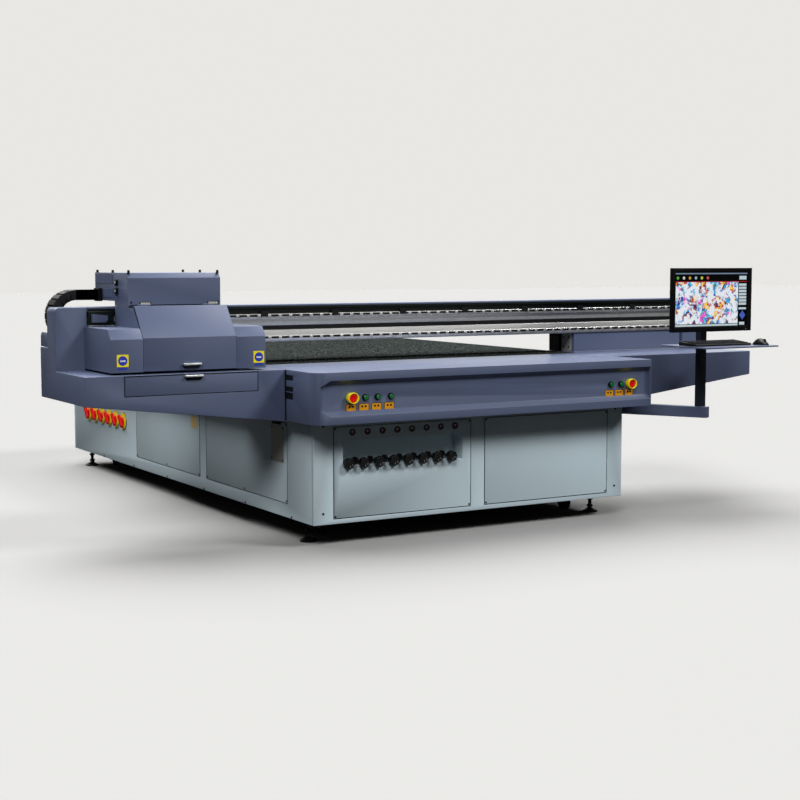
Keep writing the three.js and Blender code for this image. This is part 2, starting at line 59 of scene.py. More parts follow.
SHARP_EDGE, BEVELLED_EDGE = math.radians(35), math.radians(28)
KNOB_COUNT, SWITCH_COUNT = 8, 6
BASE = "machine_base"


def middle(node):
    """The centre of a CAD node's box, with y counted from the cabinet's front face."""
    low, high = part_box(node)
    return (low.x + high.x) / 2, (low.y + high.y) / 2 - FRONT, (low.z + high.z) / 2


# ---- materials -------------------------------------------------------------------------------
def linear(rgb):
    """Linear colour, with alpha, of an sRGB colour given as 0 to 255."""
    c = [v / 255 for v in rgb]
    return [v / 12.92 if v <= 0.04045 else ((v + 0.055) / 1.055) ** 2.4 for v in c] + [1]


def shader_node(tree, kind, inputs, **settings):
    """A shader node with its settings. Each input is linked to an output or set to a constant."""
    made = tree.nodes.new(f"ShaderNode{kind}")
    for name, value in settings.items():
        setattr(made, name, value)
    for name, value in inputs.items():
        feed(tree, value, made.inputs[name])
    return made


def feed(tree, value, socket):
    if isinstance(value, bpy.types.NodeSocket):
        tree.links.new(value, socket)
    else:
        socket.default_value = value


class Nodes:
    """A node material under construction. Its textures run in the piece's own metres."""

    def __init__(self, name, stretch=(1, 1, 1)):
        self.material = bpy.data.materials.new(name)
        self.material.use_nodes = True
        self.tree = self.material.node_tree
        self.shader = self.tree.nodes["Principled BSDF"]
        own = self.add("TexCoord", {}).outputs["Object"]
        self.place = self.add("Mapping", {"Vector": own, "Scale": stretch}).outputs["Vector"]

    def add(self, kind, inputs, **settings):
        return shader_node(self.tree, kind, inputs, **settings)

    def noise(self, scale, detail=2.0, rough=0.5, vector=None):
        n = self.add("TexNoise", {"Scale": scale, "Detail": detail, "Roughness": rough,
                                  "Vector": vector or self.place})
        return n.outputs["Fac"]

    def grid(self, scale):
        """The distance to the nearest point of a regular grid."""
        n = self.add("TexVoronoi", {"Scale": scale, "Randomness": 0.0, "Vector": self.place})
        return n.outputs["Distance"]

    def ramp(self, value, stops):
        """Turns a value into a colour, by stops of (value, colour)."""
        n = self.add("ValToRGB", {"Fac": value})
        while len(n.color_ramp.elements) < len(stops):
            n.color_ramp.elements.new(0.5)
        for element, (at, colour) in zip(n.color_ramp.elements, stops):
            element.position = at
            element.color = colour
        return n.outputs["Color"]

    def span(self, value, low, high):
        """Spreads a noise, which lies mostly between 0.3 and 0.7, over low to high."""
        n = self.add("MapRange", {"Value": value, "From Min": 0.3, "From Max": 0.7,
                                  "To Min": low, "To Max": high})
        return n.outputs["Result"]

    def bump(self, value, distance):
        """The normal of a relief that is up to distance high, in metres."""
        n = self.add("Bump", {"Height": value, "Distance": distance, "Strength": 0.5})
        return n.outputs["Normal"]

    def blend(self, factor, a, b, how="MIX"):
        """One colour over another: a where factor is 0, b where it is 1."""
        n = self.add("Mix", {}, data_type="RGBA", blend_type=how)
        for name, value in (("Factor", factor), ("A", a), ("B", b)):
            feed(self.tree, value, n.inputs[name])
        return n.outputs["Result"]

    def done(self, **sockets):
        """Feeds the shader's sockets, with _ for a space in the name."""
        for name, value in sockets.items():
            feed(self.tree, value, self.shader.inputs[name.replace("_", " ")])
        return self.material


def surface(name, rgb, rough, metallic=0.0, tint=0.06, patch=2.5, grain=700, depth=0.0002,
            stretch=(1, 1, 1), spread=0.06, coat=0.0, gloss=0.5):
    """A finish whose colour drifts softly over the surface, with a fine grain in its relief."""
    n = Nodes(name, stretch)
    base = linear(rgb)[:3]
    dark = [c * (1 - tint) for c in base] + [1]
    light = [min(1, c * (1 + tint)) for c in base] + [1]
    fine = n.noise(grain)
    return n.done(Base_Color=n.ramp(n.noise(patch, 3), [(0.3, dark), (0.7, light)]),
                  Roughness=n.span(fine, rough - spread, rough + spread),
                  Normal=n.bump(fine, depth), Metallic=metallic, Coat_Weight=coat,
                  Specular_IOR_Level=gloss)


def brushed(name, rgb, rough, metallic, tint=0.12):
    """Metal drawn or ground along x: long streaks in its colour, gloss and relief."""
    return surface(name, rgb, rough, metallic, tint, patch=12, grain=25, depth=0.0001,
                   stretch=(1, 40, 40), spread=0.1)


SLATE = surface("slate_blue_powder_coat", (87, 97, 124), 0.33, tint=0.04, depth=0.00012, gloss=0.45)
CABINET = surface("pale_blue_powder_coat", (196, 214, 222), 0.5, tint=0.03, depth=0.00015, gloss=0.3)
COLUMN = surface("dark_column_paint", (27, 31, 43), 0.45, tint=0.05, gloss=0.2)
STEEL = surface("zinc_steel", (120, 122, 125), 0.35, 0.9, tint=0.12, patch=30, grain=260)
BEAM = brushed("brushed_beam", (206, 206, 203), 0.36, 0.75)
RAIL = brushed("ground_rail", (224, 224, 222), 0.25, 0.85, tint=0.07)
SILVER = brushed("silver_trim", (196, 198, 200), 0.3, 0.7)
CAST = surface("cast_block", (176, 176, 170), 0.6, 0.4, tint=0.25, patch=180, grain=260,
               depth=0.0006)
BLACK = surface("black_moulding", (13, 13, 14), 0.42, tint=0.15, grain=1200, depth=0.0001, gloss=0.25)
GLOSSY_BLACK = surface("glossy_black", (9, 9, 10), 0.34, tint=0.15, grain=1200, depth=0.00005,
                       gloss=0.35)
DARK = surface("dark_recess", (20, 23, 26), 0.6, tint=0.15, gloss=0.2)
RUBBER = surface("wheel_rubber", (20, 20, 21), 0.7, tint=0.2, grain=400, depth=0.0004, gloss=0.2)
NYLON = surface("wheel_hub_nylon", (48, 48, 50), 0.5, tint=0.1, grain=500)
RED = surface("red_moulding", (228, 4, 14), 0.4, tint=0.06, grain=900, depth=0.00006, gloss=0.25)
YELLOW = surface("yellow_moulding", (255, 232, 16), 0.4, tint=0.05, grain=900, depth=0.00006)
BEZEL = surface("screen_surround", (7, 7, 9), 0.35, tint=0.2, grain=900, gloss=0.15)
GREEN = surface("green_lens", (8, 108, 56), 0.25, tint=0.1, grain=300, depth=0.0001, coat=0.3)
AMBER = surface("amber_plate", (222, 150, 14), 0.4, tint=0.06, grain=900, depth=0.00005)
DARK_RED = surface("dark_red_lens", (62, 14, 14), 0.3, tint=0.2, grain=300, depth=0.0001, coat=0.3)
BLUE = surface("blue_enamel", (34, 56, 170), 0.35, tint=0.06)
WHITE = surface("white_enamel", (226, 230, 236), 0.4, tint=0.03)
TAN = surface("tan_label", (232, 204, 138), 0.5, tint=0.08, patch=40)
PALE_GREEN = surface("pale_lens", (190, 225, 200), 0.3, tint=0.05)
DARK_GREEN_BLACK = surface("dark_green_black", (8, 18, 13), 0.4, tint=0.2, gloss=0.25)
SCREEN_GLASS = surface("screen_glass", (5, 5, 7), 0.12, tint=0.1, depth=0.00001, gloss=0.3)


HOLES_PER_METRE = 33


def bed_surface():
    """Anodised bed plate: fine speckle and rows of vacuum holes."""
    n = Nodes("vacuum_bed_plate")
    speckle = n.noise(85, 3, 0.8)
    colour = n.ramp(speckle, [(0.42, linear((22, 25, 24))), (0.52, linear((34, 38, 37))),
                              (0.64, linear((92, 98, 95)))])
    holes = n.ramp(n.grid(HOLES_PER_METRE), [(0.12, (0.06, 0.06, 0.06, 1)), (0.16, (1, 1, 1, 1))])
    return n.done(Base_Color=n.blend(1.0, colour, holes, "MULTIPLY"),
                  Roughness=n.span(speckle, 0.4, 0.62), Normal=n.bump(speckle, 0.0006),
                  Specular_IOR_Level=0.0)


SCREEN_BLACK = (0.01, 0.01, 0.01, 1)


def canvas_surface():
    """An abstract splash of colours on a screen, which shines."""
    n = Nodes("screen_picture")
    wide = n.add("TexNoise", {"Scale": 16, "Detail": 6, "Vector": n.place})
    warp = n.add("VectorMath", {0: wide.outputs["Color"], 1: (0.09, 0.09, 0.09), 2: n.place},
                 operation="MULTIPLY_ADD").outputs["Vector"]
    hue = n.noise(17, 1, 0.6, warp)
    wheel = [(0.3, (170, 20, 90)), (0.37, (250, 214, 30)), (0.41, (190, 60, 40)),
             (0.45, (90, 20, 50)), (0.49, (40, 30, 110)), (0.53, (40, 110, 220)),
             (0.57, (20, 200, 215)), (0.61, (20, 80, 100)), (0.66, (225, 50, 190))]
    colour = n.ramp(hue, [(at, linear(rgb)) for at, rgb in wheel])
    where = n.ramp(n.noise(24, 6, 0.75, warp), [(0.47, (0, 0, 0, 1)), (0.5, (1, 1, 1, 1))])
    paper = linear((222, 228, 234))
    return n.done(Base_Color=SCREEN_BLACK, Roughness=0.3, Emission_Strength=1.0,
                  Emission_Color=n.blend(where, colour, paper))


def glowing(name, rgb):
    """A lit patch of the screen."""
    n = Nodes(name)
    base = linear(rgb)
    dim = [c * 0.85 for c in base[:3]] + [1]
    return n.done(Base_Color=SCREEN_BLACK, Roughness=0.3, Emission_Strength=0.8,
                  Emission_Color=n.ramp(n.noise(60), [(0.3, dim), (0.7, base)]))


BED = bed_surface()


# ---- shapes ----------------------------------------------------------------------------------
def turns(count):
    """That many angles, evenly spread round the circle."""
    return [2 * math.pi * k / count for k in range(count)]


def place(axis, at, outline):
    """An outline across an axis: "x" takes its points as (y, z), "y" as (x, z), "z" as (x, y)."""
    return [{"x": (at, u, v), "y": (u, at, v), "z": (u, v, at)}[axis] for u, v in outline]


def circle(axis, at, c1, c2, radius, sides):
    return ellipse(axis, at, c1, c2, radius, radius, sides)


def ellipse(axis, at, c1, c2, wide, tall, sides=36):
    rim = [(c1 + wide * math.cos(a), c2 + tall * math.sin(a)) for a in turns(sides)]
    return place(axis, at, rim)


class Shape:
    """One piece under construction, in file coordinates."""

    def __init__(self):
        self.bm = bmesh.new()

    def loft(self, rings, closed=False):
        """Skins a row of rings that have as many points each, and caps both ends."""
        made = [[self.bm.verts.new(p) for p in ring] for ring in rings]
        count = len(made[0])
        pairs = list(zip(made, made[1:])) + ([(made[-1], made[0])] if closed else [])
        for a, b in pairs:
            for k in range(count):
                m = (k + 1) % count
                self.bm.faces.new((a[k], a[m], b[m], b[k]))
        if not closed:
            self.bm.faces.new(list(reversed(made[0])))
            self.bm.faces.new(made[-1])
        return [v for ring in made for v in ring]

    def box(self, x, y, z):
        return self.prism("z", z, [(x[0], y[0]), (x[1], y[0]), (x[1], y[1]), (x[0], y[1])])

    def rod(self, axis, span, c1, c2, radius, sides=20):
        return self.loft([circle(axis, at, c1, c2, radius, sides) for at in span])

    def prism(self, axis, span, outline):
        """An outline drawn out along an axis, as place() takes it."""
        return self.loft([place(axis, at, outline) for at in span])

    def lathe(self, axis, c1, c2, profile, sides=28):
        """Turns a profile of (distance along the axis, radius) about it."""
        return self.loft([circle(axis, at, c1, c2, r, sides) for at, r in profile])

    def ring(self, axis, span, c1, c2, outer, inner, sides=28):
        """A short pipe."""
        a, b = span
        rows = [(a, outer), (b, outer), (b, inner), (a, inner)]
        return self.loft([circle(axis, at, c1, c2, r, sides) for at, r in rows], closed=True)

    def move(self, verts, x=0.0, z=0.0):
        bmesh.ops.translate(self.bm, verts=verts, vec=(x, 0, z))

    def turn(self, verts, degrees):
        """Turns some of the points about the y axis."""
        turned = Matrix.Rotation(math.radians(degrees), 3, "Y")
        bmesh.ops.rotate(self.bm, verts=verts, cent=(0, 0, 0), matrix=turned)

    def done(self, name, body, material, bevel=0.0, segments=2, slot=None, replaces=()):
        """Carries the shape into the frame and makes it a piece that rides on a body."""
        bmesh.ops.recalc_face_normals(self.bm, faces=self.bm.faces)
        bmesh.ops.translate(self.bm, verts=self.bm.verts, vec=(0, FRONT, 0))
        return finished(self.bm, name, body, material, bevel, segments, replaces)

    def instead(self, node, part, material, bevel=0.0):
        """Done, as the piece that takes a CAD node's place."""
        self.done(f"{node}_{part}", BODY_OF[node], material, bevel, slot=SLOT_OF[node],
                  replaces=[node])


def finished(bm, name, body, material, bevel, segments, replaces):
    """Turns a bmesh into a piece: smooth faces, crisp or rounded edges, body."""
    for f in bm.faces:
        f.smooth = True
    if not bevel:
        for e in bm.edges:
            e.smooth = not (len(e.link_faces) == 2 and e.calc_face_angle(0) > SHARP_EDGE)
    mesh = bpy.data.meshes.new(name)
    bm.to_mesh(mesh)
    bm.free()
    obj = bpy.data.objects.new(name, mesh)
    bpy.context.scene.collection.objects.link(obj)
    mesh.materials.append(material)
    if bevel:
        m = obj.modifiers.new("rounded_edges", "BEVEL")
        m.width = bevel
        m.segments = segments
        m.limit_method = "ANGLE"
        m.angle_limit = BEVELLED_EDGE
        m.harden_normals = True
    if body:
        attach(obj, body)
    if replaces:
        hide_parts(*replaces)
    return obj


def rounded(node, material, bevel, segments=2):
    """The CAD node's own shape with softened edges, in place of the node."""
    weld, flat = 1e-5, math.radians(0.5)
    bm = bmesh.new()
    bm.from_mesh(frame["nodes"][node].data)
    bmesh.ops.remove_doubles(bm, verts=bm.verts, dist=weld)
    bmesh.ops.dissolve_limit(bm, angle_limit=flat, verts=bm.verts, edges=bm.edges)
    finished(bm, f"{node}_finish", BODY_OF[node], material, bevel, segments, [node])


def boxes(name, body, material, bevel, *spans, slot=None):
    """A piece of one or more boxes, each given by its spans in x, y and z."""
    s = Shape()
    for x, y, z in spans:
        s.box(x, y, z)
    return s.done(name, body, material, bevel, slot=slot)


def cap_screw(s, axis, face, sign, c1, c2, radius=0.006):
    """A button-head screw on a face; sign says which way it stands out along the axis."""
    out = [(0, radius), (0.0018, radius), (0.0034, radius * 0.55), (0.0034, radius * 0.42),
           (0.0014, radius * 0.38)]
    s.lathe(axis, c1, c2, [(face + sign * h, r) for h, r in out], 12)


def edging(node, body, axis):
    """Dark rubber edging round a panel whose outer face looks towards -axis."""
    low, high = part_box(node)
    wide, proud, sunk = 0.003, 0.0004, 0.001
    if axis == "y":
        a, b, face = low.x, high.x, low.y - FRONT
    else:
        a, b, face = low.y - FRONT, high.y - FRONT, low.x
    c, d = low.z, high.z
    s = Shape()
    for u, v in (((a, a + wide), (c, d)), ((b - wide, b), (c, d)),
                 ((a + wide, b - wide), (c, c + wide)), ((a + wide, b - wide), (d - wide, d))):
        s.prism(axis, (face - proud, face + sunk),
                [(u[0], v[0]), (u[1], v[0]), (u[1], v[1]), (u[0], v[1])])
    s.done(f"{node}_edging", body, BLACK)


# ---- base ------------------------------------------------------------------------------------
def add_cabinet():
    """The cabinet's walls and panels with their screws, and the louvres at the back."""
    for side in ("front", "left", "right", "rear"):
        rounded(f"cabinet_{side}_wall", CABINET, 0.002)
    for name in ("front_valve_panel", "front_service_panel", "left_panel_front",
                 "left_panel_rear"):
        rounded(name, CABINET, 0.0012)
    rounded("base_frame", STEEL, 0.002)

    s = Shape()
    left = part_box("cabinet_left_wall")[0].x
    for x, z in ((-0.896, 0.166), (0.899, 0.17), (-0.895, 0.594), (0.899, 0.594)):
        cap_screw(s, "y", 0, -1, x, z)
    for x in (-0.828, -0.048, 0.056, 0.837):
        for z in (0.146, 0.578):
            cap_screw(s, "y", 0, -1, x, z, 0.005)
    for i in range(6):
        cap_screw(s, "x", left, -1, 0.239 + 0.554 * i, 0.119)
    for a, b in ((0.284, 1.313), (1.401, 2.407)):
        inset = 0.014
        for y in (a + inset, (a + b) / 2, b - inset):
            for z in (0.192, 0.577):
                cap_screw(s, "x", left, -1, y, z, 0.005)
    s.done("cabinet_screws", BASE, BLACK)

    # The far side and the back have the same kind of panel, marked by its joint line.
    s = Shape()
    right, back, thick = -left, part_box("cabinet_rear_wall")[1].y - FRONT, 0.0015
    for y in ((0.3, 1.2), (1.3, 2.3), (2.4, 3.3)):
        s.box((right, right + thick), y, (0.178, 0.585))
    for x in ((-0.84, -0.04), (0.04, 0.84)):
        s.box(x, (back, back + thick), (0.133, 0.585))
    s.done("rear_service_panels", BASE, CABINET, 0.001, slot="cabinet_paint")
    s = Shape()
    for i in range(9):
        z = 0.25 + i * 0.026
        for x in (-0.44, 0.44):
            s.box((x - 0.16, x + 0.16), (back + 0.0013, back + 0.0025), (z, z + 0.008))
    s.done("rear_vent_slots", BASE, DARK, 0.0004)


def add_gauges():
    """A row of small gauges over the recess, and the recess with its valve collars."""
    rims, lenses = Shape(), Shape()
    for i in range(KNOB_COUNT):
        x, z = -0.733 + 0.0853 * i, 0.557
        rims.lathe("y", x, z, [(0, 0.0165), (-0.004, 0.0165), (-0.006, 0.0145), (-0.006, 0.012),
                               (-0.003, 0.0115)])
        lenses.lathe("y", x, z, [(-0.001, 0.0115), (-0.0045, 0.0115), (-0.0062, 0.008),
                                 (-0.0066, 0.002)])
    rims.done("gauge_rims", BASE, BLACK)
    lenses.done("gauge_lenses", BASE, DARK_RED)

    boxes("valve_recess_backplate", BASE, CABINET, 0.001,
          ((-0.781, -0.094), (0.084, 0.0895), (0.388, 0.514)))
    s = Shape()
    for i in range(KNOB_COUNT):
        x, _, z = middle(f"valve_knob_{i + 1}")
        s.ring("y", (0.0745, 0.0838), x, z, 0.019, 0.0092)
    s.done("valve_collars", BASE, BLACK, 0.001)


def add_knobs():
    """Fluted valve knobs on their spindles, with two small silver marks on each cap that are painted
    glints.
    """
    flutes, sides = 8, 64
    profile = ((-0.0012, 0.0243, 0), (-0.004, 0.0273, 0.0016), (-0.025, 0.0273, 0.0016),
               (-0.0293, 0.0253, 0.0016), (-0.03, 0.0223, 0), (-0.0285, 0.0208, 0),
               (-0.0285, 0.0028, 0))
    for i in range(KNOB_COUNT):
        node = f"valve_knob_{i + 1}"
        x, _, z = middle(node)
        s = Shape()
        rings = []
        for at, reach, depth in profile:
            radii = [(a, reach + depth * math.cos(flutes * a)) for a in turns(sides)]
            rings.append([(x + r * math.cos(a), at, z + r * math.sin(a)) for a, r in radii])
        s.loft(rings)
        s.rod("y", (-0.002, 0.0895), x, z, 0.008)
        s.instead(node, "grip", GLOSSY_BLACK)
        # Two small silver marks low on the cap, a short bar and a dot: painted glints on the black
        # knob.
        s = Shape()
        s.box((x - 0.0012, x + 0.0012), (-0.0292, -0.028), (z - 0.019, z - 0.009))
        s.rod("y", (-0.0298, -0.028), x + 0.012, z - 0.005, 0.0026)
        s.done(f"{node}_painted_glints", BODY_OF[node], SILVER, 0.0003)


def add_left_wall_fittings():
    """Blank plates on the left wall, and the round plates behind the switch handles."""
    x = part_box("cabinet_left_wall")[0].x
    boxes("rating_plate_blank", BASE, CAST, 0.0006,
          ((x - 0.0018, x), (0.323, 0.470), (0.383, 0.566)))
    s = Shape()
    for y in (0.334, 0.459):
        for z in (0.394, 0.555):
            cap_screw(s, "x", x - 0.0016, -1, y, z, 0.004)
    s.box((x - 0.012, x), (0.355, 0.438), (0.574, 0.588))
    s.done("rating_plate_fixings", BASE, DARK, 0.0005)
    boxes("side_label_blank", BASE, TAN, 0.0005,
          ((x - 0.0015, x), (1.435, 1.525), (0.449, 0.517)))

    plates, housings, screws = Shape(), Shape(), Shape()
    corner = 0.031
    for i in range(SWITCH_COUNT):
        _, y, z = middle(f"switch_handle_{i + 1}")
        housings.rod("x", (x - 0.003, x), y, z, 0.0555, sides=48)
        plates.rod("x", (x - SWITCH_PLATE, x - 0.003), y, z, 0.0535, sides=48)
        for v in (-corner, corner):
            for w in (-corner, corner):
                cap_screw(screws, "x", x - 0.006, -1, y + v, z + w, 0.0028)
    housings.done("switch_bodies", BASE, BLACK, 0.0012)
    plates.done("switch_plates", BASE, YELLOW, 0.0005)
    screws.done("switch_plate_screws", BASE, SILVER)


SWITCH_PLATE = 0.0062  # from the wall to the face of the switch plates


def rounded_bar(half_wide, half_long, lean, sides=24):
    """A bar's outline with blunt, rounded ends, leaning over by an angle."""
    outline = []
    for a in turns(sides):
        u = half_wide * math.copysign(abs(math.cos(a)) ** 0.5, math.cos(a))
        v = half_long * math.copysign(abs(math.sin(a)) ** 0.5, math.sin(a))
        outline.append((u * math.cos(lean) + v * math.sin(lean),
                        v * math.cos(lean) - u * math.sin(lean)))
    return outline


def add_switch_handles():
    """Red rotary handles: a stepped disc and a leaning grip across it."""
    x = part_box("cabinet_left_wall")[0].x - SWITCH_PLATE
    lean = math.radians(38)
    for i in range(SWITCH_COUNT):
        node = f"switch_handle_{i + 1}"
        _, y, z = middle(node)
        s = Shape()
        s.lathe("x", y, z, [(x, 0.0245), (x - 0.009, 0.0245), (x - 0.012, 0.021),
                            (x - 0.014, 0.012)])
        rings = []
        for out, taper in ((0.0105, 1.0), (0.019, 0.9), (0.0245, 0.76)):
            bar = rounded_bar(0.0135 * taper, 0.046 * (0.9 + 0.1 * taper), lean)
            rings.append(place("x", x - out, [(y + u, z + v) for u, v in bar]))
        s.loft(rings)
        s.instead(node, "grip", RED, 0.001)
        s = Shape()
        for reach in (-0.032, 0.032):
            s.rod("x", (x - 0.0249, x - 0.0235), y + reach * math.sin(lean),
                  z + reach * math.cos(lean), 0.0042, sides=14)
        s.done(f"{node}_screws", BODY_OF[node], BLACK)


def add_console():
    """The consoles, the side beams with the gantry's ways, and the bed between them."""
    rounded("front_console", SLATE, 0.0035, 3)
    rounded("rear_console", SLATE, 0.0035, 3)
    for side in ("left", "right"):
        rounded(f"side_beam_{side}", SLATE, 0.002)
    rounded("vacuum_bed", BED, 0.001)

    # Dark inserts fill the slots on the console's left end.
    s = Shape()
    for a, b in ((0.724, 0.757), (0.762, 0.786), (0.816, 0.842)):
        s.box((-1.0185, -1.0105), (0.072, 0.15), (a - 0.001, b + 0.001))
    s.done("console_slot_inserts", BASE, BLACK, 0.001)

    # Rubber seals close the joint between the console and the wings.
    s = Shape()
    for sign in (-1, 1):
        s.box(sorted((sign * 1.0155, sign * 1.0205)), (0.1465, 0.1575), (0.619, 0.8655))
    s.done("console_end_seals", BASE, BLACK, 0.001)

    # Dark seal strip between the console deck and the bed.
    boxes("bed_edge_seal", BASE, DARK, 0.0004,
          ((-1.017, 1.017), (0.5003, 0.5047), (0.832, 0.862)))

    # Steel rails with their bolts in the channel of each side beam, where the gantry runs.
    bolts, rails = Shape(), Shape()
    for sign in (-1, 1):
        for k in range(4):
            y = 0.83 + k * 0.69
            rails.box(sorted((sign * 0.9745, sign * 0.9945)), (y, y + 0.688), (0.7455, 0.7645))
        for k in range(56):
            x = sorted((sign * 0.9941, sign * 0.9948))
            bolts.rod("x", x, 0.84 + k * 0.049, 0.755, 0.0055, sides=10)
    rails.done("gantry_way_rails", BASE, RAIL, 0.0012, slot="ground_steel")
    bolts.done("gantry_way_bolts", BASE, BLACK)


def add_controls():
    """Stop buttons in their shrouds, push buttons in their bezels, and plates below them."""
    face = -0.131  # of the console's recessed strip
    shrouds, bezels, plates, dots, borders = Shape(), Shape(), Shape(), Shape(), Shape()
    for node in ("estop_left", "estop_right"):
        x, _, z = middle(node)
        shrouds.loft([ellipse("y", at, x, z, a, b) for at, a, b in
                      ((face, 0.0285, 0.0245), (face - 0.004, 0.031, 0.0268),
                       (face - 0.022, 0.032, 0.0275), (face - 0.0285, 0.03, 0.0262),
                       (face - 0.03, 0.0272, 0.0243), (face - 0.0285, 0.0232, 0.0225),
                       (face - 0.0035, 0.0212, 0.0212), (face - 0.0035, 0.0135, 0.0135),
                       (face, 0.0135, 0.0135))], closed=True)
        s = Shape()
        s.lathe("y", x, z, [(face + 0.024, 0.011), (face - 0.0125, 0.011), (face - 0.013, 0.0195),
                            (face - 0.016, 0.02), (face - 0.0225, 0.0198),
                            (face - 0.0255, 0.0175), (face - 0.026, 0.014),
                            (face - 0.0245, 0.009), (face - 0.024, 0.001)], 36)
        s.instead(node, "mushroom", RED)
    for node in ("button_left_1", "button_left_2", "button_left_3", "button_right_1",
                 "button_right_2"):
        x, _, z = middle(node)
        bezels.loft([circle("y", at, x, z, r, 28) for at, r in
                     ((face, 0.0165), (face - 0.009, 0.0165), (face - 0.0125, 0.0148),
                      (face - 0.0125, 0.0126), (face, 0.0126))], closed=True)
        s = Shape()
        s.lathe("y", x, z, [(face + 0.024, 0.007), (face - 0.0045, 0.007), (face - 0.005, 0.012),
                            (face - 0.0145, 0.012), (face - 0.0158, 0.0105),
                            (face - 0.016, 0.001)], 28)
        s.instead(node, "lens", GREEN)
    for x in (-0.811, -0.741, -0.671, -0.6, 0.753, 0.819, 0.885):
        borders.box((x - 0.0285, x + 0.0285), (face - 0.0008, face), (0.675, 0.711))
        plates.box((x - 0.026, x + 0.026), (face - 0.0015, face), (0.6775, 0.7085))
        for u in (-0.009, 0.009):
            dots.rod("y", (face - 0.0019, face - 0.001), x + u, 0.697, 0.0055, sides=14)
    shrouds.done("estop_shrouds", BASE, YELLOW)
    bezels.done("button_bezels", BASE, BLACK)
    borders.done("legend_borders", BASE, BLACK)
    plates.done("legend_plates", BASE, AMBER, 0.0004)
    dots.done("legend_marks", BASE, BLACK)


def add_feet():
    """Levelling feet: a domed pad, and a threaded stem with two nuts."""
    threads, pitch, nut_radius = 24, 0.004, 0.018
    nut = [(nut_radius * math.cos(a), nut_radius * math.sin(a)) for a in turns(6)]
    for side in ("left", "right"):
        for end in ("front", "rear"):
            node = f"levelling_foot_{end}_{side}"
            x, y, _ = middle(node)
            s = Shape()
            s.lathe("z", x, y, [(0.0002, 0.043), (0.003, 0.045), (0.008, 0.045), (0.011, 0.041),
                                (0.017, 0.028), (0.021, 0.019), (0.026, 0.0125), (0.03, 0.0115)])
            s.instead(node, "pad", GLOSSY_BLACK)
            s = Shape()
            profile = [(0.024, 0.0085)]
            for k in range(threads):
                z = 0.03 + k * pitch
                profile += [(z, 0.0105), (z + pitch / 2, 0.0092)]
            s.lathe("z", x, y, profile + [(0.1296, 0.0105)], 16)
            for low in (0.07, 0.032):
                s.prism("z", (low, low + 0.012), [(x + u, y + v) for u, v in nut])
            s.done(f"{node}_stem", BODY_OF[node], GLOSSY_BLACK, slot=SLOT_OF[node])


def add_casters():
    """Forks, and wheels with a rubber tyre on a nylon hub with five marks."""
    for side in ("left", "right"):
        rounded(f"caster_fork_{side}", STEEL, 0.0012)
        for end in ("front", "rear"):
            node = f"caster_wheel_{end}_{side}"
            x, y, z = middle(node)
            tyre, hub = Shape(), Shape()
            tyre.loft([circle("x", x + at, y, z, r, 40) for at, r in
                       ((-0.0135, 0.031), (-0.015, 0.037), (-0.014, 0.042), (-0.009, 0.045),
                        (0.009, 0.045), (0.014, 0.042), (0.015, 0.037), (0.0135, 0.031))],
                      closed=True)
            hub.loft([circle("x", x + at, y, z, r, 32) for at, r in
                      ((-0.015, 0.0068), (-0.015, 0.013), (-0.009, 0.015), (-0.008, 0.027),
                       (-0.0125, 0.0312), (0.0125, 0.0312), (0.008, 0.027), (0.009, 0.015),
                       (0.015, 0.013), (0.015, 0.0068))], closed=True)
            for v, w in [(y + 0.021 * math.cos(a), z + 0.021 * math.sin(a)) for a in turns(5)]:
                hub.rod("x", (x - 0.0105, x + 0.0105), v, w, 0.0028, sides=10)
            tyre.instead(node, "tyre", RUBBER)
            hub.done(f"{node}_hub", BODY_OF[node], NYLON)


